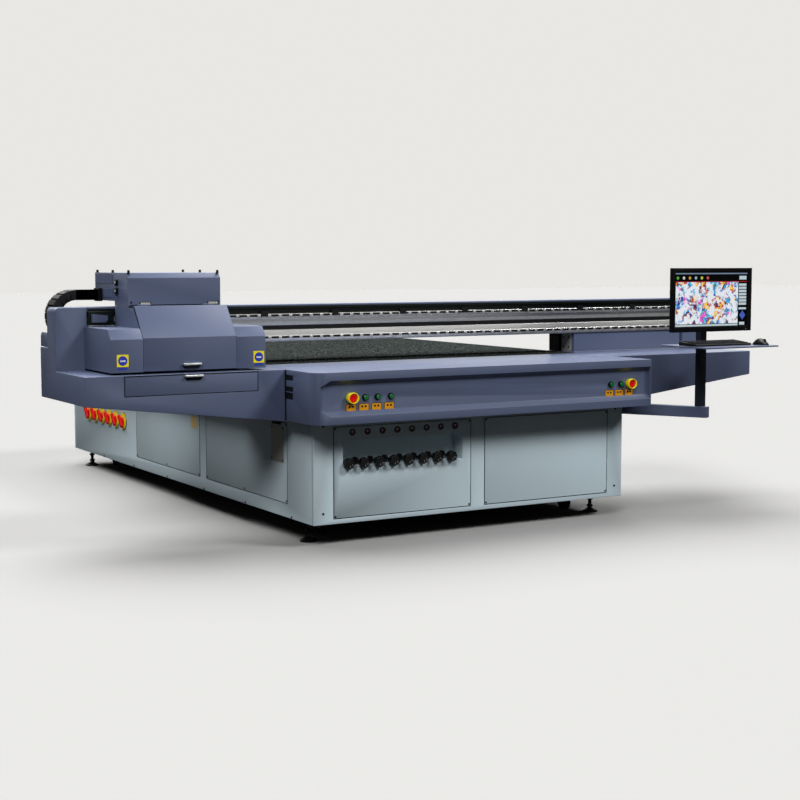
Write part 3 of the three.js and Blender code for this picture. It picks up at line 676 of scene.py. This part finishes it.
# ---- gantry ----------------------------------------------------------------------------------
def add_gantry():
    """The wings, the beam with its rails, and what is fixed to them."""
    rounded("left_wing", SLATE, 0.0035, 3)
    rounded("right_wing", SLATE, 0.0035, 3)
    rounded("gantry_beam", BEAM, 0.0015)
    rounded("beam_cover", SLATE, 0.0015)
    rounded("maintenance_drawer", SLATE, 0.0015)
    for node in ("upper_rail", "lower_rail"):
        rounded(node, RAIL, 0.0012)

    # Between the bolts of each rail lie dark cover strips.
    heads, strips = Shape(), Shape()
    start, pitch, count = -1.8, 0.06, 60
    profile = ((0.0005, 0.0056), (-0.0015, 0.0056), (-0.0021, 0.0046), (-0.0021, 0.003),
               (-0.0008, 0.0028))
    for node in ("upper_rail", "lower_rail"):
        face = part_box(node)[0].y - FRONT
        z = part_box(node)[0].z + 0.017
        for k in range(count):
            x = start + pitch * k
            strips.box((x + 0.0085, x + 0.0515), (face - 0.0006, face + 0.0005),
                       (z - 0.0055, z + 0.0055))
        for k in range(count + 1):
            heads.lathe("y", start + pitch * k, z, [(face + at, r) for at, r in profile], 12)
    strips.done("rail_cover_strips", "gantry", BLACK, 0.0003)
    heads.done("rail_bolts", "gantry", SILVER)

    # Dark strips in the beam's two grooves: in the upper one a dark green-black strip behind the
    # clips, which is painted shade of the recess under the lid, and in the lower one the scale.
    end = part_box("gantry_beam")[1].x - 0.002
    boxes("upper_groove_painted_shade", "gantry", DARK_GREEN_BLACK, 0.001,
          ((-end, end), (0.5915, 0.6018), (1.1245, 1.1495)))
    s = Shape()
    for x in (-0.93, -0.52, -0.105, 0.295, 0.7, 1.09, 1.48):
        s.box((x - 0.02, x + 0.02), (0.5735, 0.5915), (1.1245, 1.136))
        s.box((x - 0.02, x + 0.02), (0.5726, 0.5742), (1.11, 1.136))
    s.done("duct_clips", "gantry", BLACK, 0.001)
    boxes("scale_strip", "gantry", BLACK, 0.001,
          ((-end, end), (0.5925, 0.6018), (1.0415, 1.0615)))

    # A dark green-black strip along the foot of the lid's front face: painted shade under the lid.
    boxes("lid_foot_painted_shade", "gantry", DARK_GREEN_BLACK, 0.0003,
          ((-end, end), (0.5736, 0.5754), (1.1515, 1.1635)))

    # Behind the left tower: the end block of the beam with its bracket.
    boxes("beam_end_block", "gantry", DARK_GREEN_BLACK, 0.0015,
          ((-1.8705, -1.742), (0.56, 0.5745), (1.084, 1.151)))
    s = Shape()
    s.prism("y", (0.535, 0.56), [(-1.856, 1.099), (-1.792, 1.099), (-1.78, 1.11),
                                 (-1.78, 1.131), (-1.856, 1.139)])
    s.done("beam_end_bracket", "gantry", SLATE, 0.001, slot="slate_blue_paint")
    boxes("beam_end_bar", "gantry", SILVER, 0.0005,
          ((-1.8705, -1.742), (0.552, 0.5742), (1.0805, 1.0845)))

    # Posts under the trough, black as painted shade of the legs' shaded sides, and the cast blocks
    # under both ends of the beam.
    for side, sign in (("left", -1), ("right", 1)):
        boxes(f"painted_shade_trough_post_{side}", "gantry", BLACK, 0.002,
              (sorted((sign * 1.045, sign * 1.13)), (0.716, 0.812), (0.866, 0.9752)))
        boxes(f"beam_foot_plate_{side}", "gantry", CAST, 0.001,
              (sorted((sign * 1.054, sign * 1.0602)), (0.612, 0.7), (0.868, 0.9775)),
              slot="beam_metal")
        s = Shape()
        for y in (0.632, 0.68):
            for z in (0.895, 0.95):
                cap_screw(s, "x", sign * 1.054, -sign, y, z, 0.006)
        s.done(f"beam_foot_bolts_{side}", "gantry", BLACK)

    # Screws of the towers and of the trough.
    s = Shape()
    for sign in (-1, 1):
        for y in (0.595, 0.667):
            for z in (0.92, 1.13):
                cap_screw(s, "x", sign * 2.0262, sign, y, z, 0.005)
    for k in range(13):
        cap_screw(s, "y", 0.8798, 1, -1.9 + 0.3 * k, 1.0, 0.004)
    s.done("gantry_screws", "gantry", BLACK)


def pull_handle(name, body, x, z, face, wide=0.1):
    """A scooped pull: a cup that tapers down into the face, black as painted shade under the lip, and
    a silver lip over it.
    """
    half = wide / 2

    def outline(inset, taper, out, at):
        return [(x - half + inset, face, at), (x + half - inset, face, at),
                (x + half - inset - taper, face - out, at),
                (x - half + inset + taper, face - out, at)]

    # The cup is black: painted shade under the lip.
    s = Shape()
    s.loft([outline(0.012, 0.004, 0.005, z - 0.014), outline(0, 0.006, 0.017, z)])
    s.done(f"{name}_cup_painted_shade", body, BLACK, 0.0015)
    s = Shape()
    s.loft([outline(0, 0.004, 0.02, at) for at in (z + 0.0002, z + 0.0105)])
    s.done(f"{name}_lip", body, SILVER, 0.003, 3)


# ---- cable chain -----------------------------------------------------------------------------
CHAIN_Y = (0.752, 0.858)
CHAIN_MIDDLE = 0.104  # radius of the chain's centre line round its bend
CHAIN_BEND = (-1.864, 1.123)
LINK = 0.05
PITCH = 0.0297


def chain_link(s, along=0.0):
    """One link about the origin's y axis, across the chain's width, with z about 0."""
    y0, y1 = CHAIN_Y
    half, lap, wall = PITCH / 2 - 0.0007, 0.003, 0.009
    verts = []
    for side in ((y0, y0 + wall), (y1 - wall, y1)):
        verts += s.box((along - half - lap, along + half + lap), side, (-0.0225, 0.0225))
    for bar in ((0.019, LINK / 2), (-LINK / 2, -0.019)):
        verts += s.box((along - half, along + half), (y0 + 0.002, y1 - 0.002), bar)
    for y, out in ((y0, -1), (y1, 1)):
        pin = sorted((y - out * 0.001, y + out * 0.0012))
        verts += s.rod("y", pin, along, 0, 0.009, sides=12)
    return verts


def add_chain():
    """The cable chain: its loop, its two straight runs, and the brackets at its ends."""
    bend_x, bend_z = CHAIN_BEND
    loop_links, lower_links, upper_links = 11, 53, 54
    s = Shape()
    for k in range(loop_links):
        verts = chain_link(s)
        s.move(verts, z=-CHAIN_MIDDLE)
        s.turn(verts, 180 * (k + 0.5) / loop_links)
        s.move(verts, bend_x, bend_z)
    s.done("chain_loop_links", "chain_loop", BLACK, 0.001, 1, slot="black_plastic",
           replaces=["chain_bend"])
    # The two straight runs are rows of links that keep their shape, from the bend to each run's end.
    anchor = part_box("chain_lower_run")[1].x
    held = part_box("chain_upper_run")[1].x
    run_links("chain_lower_links", "chain_lower_run", bend_z - CHAIN_MIDDLE,
              lower_links, (bend_x, anchor), (1.0, 0.0))
    run_links("chain_upper_links", "chain_upper_run", bend_z + CHAIN_MIDDLE,
              upper_links, (bend_x, held), (0.5, 1.0))
    boxes("chain_end_bracket", "carriage", BLACK, 0.0015,
          ((-1.7395, -1.7308), (0.749, 0.8578), (1.199, 1.2575)))
    boxes("chain_anchor_bracket", "gantry", STEEL, 0.0015,
          ((anchor - 0.002, anchor + 0.012), (0.749, 0.861), (0.9945, 1.0425)),
          slot="zinc_steel")


def run_links(name, node, z, count, ends, shares):
    """A straight run of links along x. The share of the motion that each link would take is worked
    out from shares, but not used.
    """
    s = Shape()
    (x0, x1), (share0, share1) = ends, shares
    given = []
    for k in range(count):
        part = (k + 0.5) / count
        verts = chain_link(s, x0 + (x1 - x0) * part)
        for v in verts:
            v.co.x = min(max(v.co.x, x0), x1)
        s.move(verts, z=z)
        given += [share0 + (share1 - share0) * part] * len(verts)
    s.bm.verts.index_update()
    obj = s.done(name, None, BLACK, slot="black_plastic")
    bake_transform(obj)
    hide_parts(node)


# ---- carriage --------------------------------------------------------------------------------
def add_carriage():
    """The carriage with its cover, handles, sockets, studs, hinges, markers and seals."""
    rounded("carriage_body", SLATE, 0.003, 3)
    rounded("carriage_cover", SLATE, 0.0012)
    rounded("printhead_block", STEEL, 0.0015)

    pull_handle("cover_handle", "cover", -1.4905, 0.902, 0.2)
    pull_handle("drawer_handle", "drawer", -1.5, 0.849, 0.156)
    edging("maintenance_drawer", "drawer", "y")

    left = -1.731  # of the box on top
    boxes("carriage_side_plates", "carriage", SLATE, 0.0006,
          ((left - 0.0016, left), (0.6, 0.846), (1.283, 1.331)),
          ((left - 0.0016, left), (0.598, 0.728), (1.217, 1.258)), slot="slate_blue_paint")
    sockets, lenses = Shape(), Shape()
    for z in (1.29, 1.249):
        sockets.box((left - 0.006, left), (0.524, 0.556), (z - 0.015, z + 0.015))
        sockets.ring("x", (left - 0.011, left - 0.005), 0.54, z, 0.0125, 0.008)
        lenses.lathe("x", 0.54, z, [(left - 0.005, 0.0078), (left - 0.0095, 0.0078),
                                    (left - 0.011, 0.005), (left - 0.0113, 0.001)], 20)
    sockets.done("carriage_sockets", "carriage", BLACK, 0.001)
    lenses.done("carriage_socket_lenses", "carriage", PALE_GREEN)

    s = Shape()
    for x in (-1.722, -1.265):
        for y in (0.403, 0.62, 0.843):
            s.lathe("z", x, y, [(1.336, 0.008), (1.339, 0.008), (1.34, 0.006),
                                (1.3495, 0.006), (1.3505, 0.005)], 14)
    for x in (left + 0.0145, -1.2705):
        cap_screw(s, "y", 0.389, -1, x, 1.197, 0.005)
    s.done("carriage_top_studs", "carriage", BLACK)

    s = Shape()
    pads = Shape()
    for centre in (-1.645, -1.297):
        pads.box((centre - 0.029, centre + 0.029), (0.3872, 0.3895), (1.186, 1.1985))
        s.box((centre - 0.024, centre + 0.024), (0.3862, 0.3885), (1.1885, 1.196))
        for k in range(3):
            a = centre - 0.024 + k * 0.0165
            s.rod("x", (a, a + 0.0155), 0.3855, 1.1866, 0.0034, sides=14)
    pads.done("cover_hinge_pads", "carriage", BLACK, 0.0005)
    s.done("cover_hinge_leaves", "carriage", CAST, 0.0005)

    # The clamp that holds the end of the cable chain.
    boxes("chain_end_bracket", "carriage", BLACK, 0.002,
          ((-1.7535, -1.7315), (0.748, 0.81), (1.1955, 1.2605)))

    plates, discs, bars, marks = Shape(), Shape(), Shape(), Shape()
    for x, z in ((-1.832, 0.927), (-1.14, 0.924)):
        plates.box((x - 0.0285, x + 0.0285), (0.1985, 0.2), (z - 0.0225, z + 0.0345))
        discs.rod("y", (0.198, 0.1986), x, z + 0.006, 0.0225, sides=32)
        bars.box((x - 0.021, x + 0.021), (0.1984, 0.2), (z - 0.0345, z - 0.0245))
        marks.box((x - 0.013, x + 0.013), (0.1976, 0.1982), (z + 0.0015, z + 0.0085))
    plates.done("side_marker_plates", "carriage", YELLOW, 0.0004)
    discs.done("side_marker_discs", "carriage", BLUE)
    bars.done("side_marker_bars", "carriage", BLUE)
    marks.done("side_marker_stripes", "carriage", WHITE)

    # Seals in the joints beside the cover, from the sill up the slope to the hinge line.
    s = Shape()
    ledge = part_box("carriage_cover")[1].z - 0.007
    line = [(0.2035, 0.882), (0.2035, 1.034), (0.314, ledge), (0.385, ledge)]
    deep = [(0.385, ledge - 0.014), (0.318, ledge - 0.014), (0.2175, 1.03), (0.2175, 0.882)]
    for x in (-1.7309, -1.2576):
        s.prism("x", (x, x + 0.0015), line + deep)
    s.done("cover_side_seals", "carriage", BLACK)

    # Bearing faces on the back of the carriage, which clear the bolts of the rails.
    s = Shape()
    for x in (-1.82, -1.2):
        for z in (1.1105, 0.9975):
            s.box((x - 0.045, x + 0.045), (0.5675, 0.5722), (z - 0.016, z + 0.016))
    s.done("bearing_faces", "carriage", SILVER, 0.0005)


# ---- operator station ------------------------------------------------------------------------
def add_stand():
    """The operator station's column and hinge, and what lies on its shelf."""
    rounded("monitor_stand", SLATE, 0.002)
    s = Shape()
    for a, b in ((0.5915, 0.9145), (0.9355, 1.2165)):
        s.box((1.3785, 1.4215), (-0.1415, -0.0985), (a, b))
    s.done("column_sleeve", "stand", COLUMN, 0.003, 3, slot="slate_blue_paint")
    s = Shape()
    for z in ((0.5275, 0.53), (0.59, 0.5925)):
        s.rod("z", z, 1.0, 0.546, 0.024)
    s.done("pivot_washers", "stand", STEEL, 0.0005)
    add_keyboard()
    add_mouse()


SHELF_TOP = 0.9352


def add_keyboard():
    """A wedge with six rows of keys, one of them a long bar."""
    low_x, high_x, low_y, high_y = 1.213, 1.61, -0.292, -0.15
    base = SHELF_TOP
    s = Shape()
    s.prism("x", (low_x, high_x), [(low_y, base), (high_y, base), (high_y, base + 0.021),
                                   (high_y - 0.012, base + 0.022), (low_y + 0.004, base + 0.011),
                                   (low_y, base + 0.008)])
    s.done("keyboard_base", "stand", BLACK, 0.0015)
    keys = Shape()
    rows, pitch, key, long_bar = 6, 0.0188, 0.0165, 0.11
    slope = 0.011 / (high_y - low_y - 0.016)
    for row in range(rows):
        y = low_y + 0.015 + row * pitch + (0.004 if row == rows - 1 else 0)
        z = base + 0.0095 + (y - low_y) * slope
        x = low_x + 0.009
        while x < high_x - 0.022:
            wide = long_bar if row == 0 and 0.07 < x - low_x < 0.09 else key
            keys.loft([[(x + d, y + d, z + h), (x + wide - d, y + d, z + h),
                        (x + wide - d, y + key - d, z + h), (x + d, y + key - d, z + h)]
                       for d, h in ((0, 0), (0.0012, 0.0055))])
            x += wide + pitch - key
    keys.done("keyboard_keys", "stand", DARK, 0.0005, 1)


def add_mouse():
    """A rounded shell that is highest towards the back, with its wheel."""
    x, y, base = 1.662, -0.31, SHELF_TOP
    half_wide, long, high = 0.031, 0.108, 0.036
    s = Shape()
    steps = 10
    rings = []
    for k in range(steps + 1):
        t = k / steps
        swell = math.sin(math.pi * min(max(t, 0.04), 0.96)) ** 0.42
        tall = high * math.sin(math.pi * (0.08 + 0.84 * (1 - t) ** 0.8)) ** 0.6
        rings.append([(x + half_wide * swell * math.cos(a), y + long * (t - 0.5),
                       base + max(0.0, tall * swell * math.sin(a))) for a in turns(20)])
    s.loft(rings)
    obj = s.done("mouse_shell", "stand", BLACK)
    obj.modifiers.new("smooth_shell", "SUBSURF").render_levels = 1
    s = Shape()
    s.rod("x", (x - 0.003, x + 0.003), y - 0.03, base + 0.0245, 0.009)
    s.done("mouse_wheel", "stand", DARK)


def add_monitor():
    """The screen with an abstract picture among plain bars, and the back of its case."""
    rounded("monitor", BEZEL, 0.0025, 3)
    left, right, foot, head = 1.1395, 1.6605, 1.0365, 1.3325
    face = -0.1982
    lit = (face - 0.0003, face - 0.0001)
    boxes("screen_panel", "screen", SCREEN_GLASS, 0,
          ((left, right), (face, face + 0.0001), (foot, head)))

    def patch(name, material, x, z):
        boxes(name, "screen", material, 0, (x, lit, z))

    inner = right - 0.068  # where the picture ends and the column of bars begins
    pale = glowing("screen_pale", (205, 225, 232))
    patch("screen_canvas", canvas_surface(), (left + 0.004, inner), (foot + 0.016, head - 0.053))
    across = (left + 0.002, right - 0.002)
    patch("screen_title_bar", glowing("screen_title", (120, 140, 165)), across,
          (head - 0.01, head - 0.003))
    patch("screen_rule", glowing("screen_red", (200, 30, 40)), across, (head - 0.052, head - 0.049))
    patch("screen_foot_bar", pale, (left + 0.004, inner), (foot + 0.003, foot + 0.013))
    q = Shape()
    column = (inner + 0.006, right - 0.007)
    for k in range(7):
        drop = 0.0175 * k
        q.box(column, lit, (head - 0.075 - drop, head - 0.062 - drop))
    q.box(column, lit, (head - 0.205, head - 0.194))
    q.box((right - 0.06, right - 0.008), lit, (head - 0.04, head - 0.02))
    q.box((inner + 0.012, right - 0.018), lit, (foot + 0.006, foot + 0.022))
    q.done("screen_buttons", "screen", pale)
    q = Shape()
    x, z = (inner + right) / 2, foot + 0.06
    q.prism("y", lit, [(x - 0.022, z), (x, z - 0.026), (x + 0.022, z), (x, z + 0.026)])
    q.done("screen_dial", "screen", glowing("screen_blue", (70, 100, 200)))
    tints = ((90, 190, 60), (225, 225, 215), (230, 170, 60), (150, 200, 215), (200, 210, 60),
             (220, 90, 80))
    for k, rgb in enumerate(tints):
        q = Shape()
        q.rod("y", lit, left + 0.018 + 0.0425 * k, head - 0.03, 0.0085)
        q.done(f"screen_icon_{k + 1}", "screen", glowing(f"screen_icon_{k + 1}", rgb))

    # The back: a raised cover with rows of vents. A power light sits under the screen.
    s = Shape()
    s.box((1.17, 1.65), (-0.1702, -0.163), (1.05, 1.315))
    s.done("monitor_back_cover", "screen", BLACK, 0.003, 3)
    s = Shape()
    for k in range(24):
        for z in (1.285, 1.07):
            x = 1.195 + k * 0.018
            s.box((x, x + 0.009), (-0.1632, -0.1626), (z - 0.008, z + 0.008))
    s.done("monitor_vents", "screen", DARK, 0.0002)
    s = Shape()
    s.rod("y", (-0.2004, -0.1995), 1.655, 1.02, 0.002, sides=12)
    s.done("monitor_power_light", "screen", PALE_GREEN)


# ---- setting ---------------------------------------------------------------------------------
BACKDROP = (232, 231, 228)
FLOOR_SEEN, FLOOR_THROWN_BACK = 0.372, 0.025  # the floor's own tone, and what it lights up with
AMBIENT = 0.05
# What gloss mirrors: panels of light about a direction, with the cosines at which each begins
# and is full, then its strength outside and inside.
PANELS = (((0.27, -0.96, 0.05), 0.935, 0.99, 0.08, 1.6),
          ((0.4, 0.92, 0.1), 0.75, 0.96, 0.0, 1.4),
          ((0.3, 0.3, 1.0), 0.85, 0.95, 0.0, 5.0))
# Where each sun shines towards, its strength, and how many degrees wide it is.
SUNS = (("left_key", (0.8, 1.0, -1.17), 1.6, 24),
        ("right_key", (-0.92, 1.0, -1.15), 1.6, 14),
        ("overhead", (0.05, -0.5, -1.0), 5.4, 60))


def floor_surface():
    """A pale matt floor that throws little light back at the machine."""
    n = Nodes("pale_floor")
    n.tree.nodes.remove(n.shader)
    either = {"Fac": n.add("LightPath", {}).outputs["Is Camera Ray"]}
    for at, level in ((1, FLOOR_THROWN_BACK), (2, FLOOR_SEEN)):
        pale = [level, level * 0.992, level * 0.975]
        dull = [c * 0.99 for c in pale]
        tone = n.ramp(n.noise(0.3), [(0.3, dull + [1]), (0.7, pale + [1])])
        either[at] = n.add("BsdfDiffuse", {"Color": tone}).outputs["BSDF"]
    shader = n.add("MixShader", either).outputs["Shader"]
    feed(n.tree, shader, n.tree.nodes["Material Output"].inputs["Surface"])
    return n.material


def add_floor():
    """The floor ends some way in front, so that upright faces mirror the panel of light."""
    far, front = 60, -16
    boxes("floor", None, floor_surface(), 0,
                   ((-far, far), (front, far), (-0.02, -0.0005)))


def eased(tree, value, low, high, to_low, to_high):
    """Carries a value smoothly from one range to another."""
    n = shader_node(tree, "MapRange", {"Value": value, "From Min": low, "From Max": high,
                                       "To Min": to_low, "To Max": to_high},
                    interpolation_type="SMOOTHSTEP")
    return n.outputs["Result"]


def add_world():
    """A pale backdrop. Gloss mirrors the panels of light, and the rest sees a dim room."""
    world = bpy.data.worlds.new("studio")
    bpy.context.scene.world = world
    world.use_nodes = True
    tree = world.node_tree
    ray = shader_node(tree, "LightPath", {}).outputs
    towards = shader_node(tree, "TexCoord", {}).outputs["Generated"]
    room = 0.0
    for where, edge, full, outside, inside in PANELS:
        facing = shader_node(tree, "VectorMath", {0: towards, 1: Vector(where).normalized()},
                             operation="DOT_PRODUCT").outputs["Value"]
        glow = eased(tree, facing, edge, full, outside, inside)
        either = shader_node(tree, "Math", {0: room, 1: glow}, operation="MAXIMUM")
        room = either.outputs["Value"]
    mirrored = eased(tree, ray["Is Glossy Ray"], 0.0, 1.0, AMBIENT, room)
    strength = eased(tree, ray["Is Camera Ray"], 0.0, 1.0, mirrored, 1.0)
    back = tree.nodes["Background"]
    feed(tree, linear(BACKDROP), back.inputs["Color"])
    feed(tree, strength, back.inputs["Strength"])


def add_lights():
    for name, towards, strength, degrees in SUNS:
        light = bpy.data.lights.new(name, "SUN")
        light.energy = strength
        light.angle = math.radians(degrees)
        obj = bpy.data.objects.new(name, light)
        obj.rotation_euler = Vector(towards).to_track_quat("-Z", "Y").to_euler()
        bpy.context.scene.collection.objects.link(obj)


def add_camera():
    data = bpy.data.cameras.new("camera")
    data.sensor_width = 36
    data.lens = 67.37
    data.clip_end = 300
    camera = bpy.data.objects.new("camera", data)
    camera.location = (-4.2331, -6.4045 + FRONT, 1.3881)
    camera.rotation_euler = (math.radians(84.7385), 0, math.radians(-30.4931))
    bpy.context.scene.collection.objects.link(camera)
    bpy.context.scene.camera = camera
    bpy.context.scene.view_settings.view_transform = "Standard"


add_cabinet()
add_gauges()
add_knobs()
add_left_wall_fittings()
add_switch_handles()
add_console()
add_controls()
add_feet()
add_casters()
add_gantry()
add_chain()
add_carriage()
for panel in ("front_valve_panel", "front_service_panel"):
    edging(panel, BASE, "y")
for panel in ("left_panel_front", "left_panel_rear"):
    edging(panel, BASE, "x")
add_stand()
add_monitor()
add_floor()
add_world()
add_lights()
add_camera()
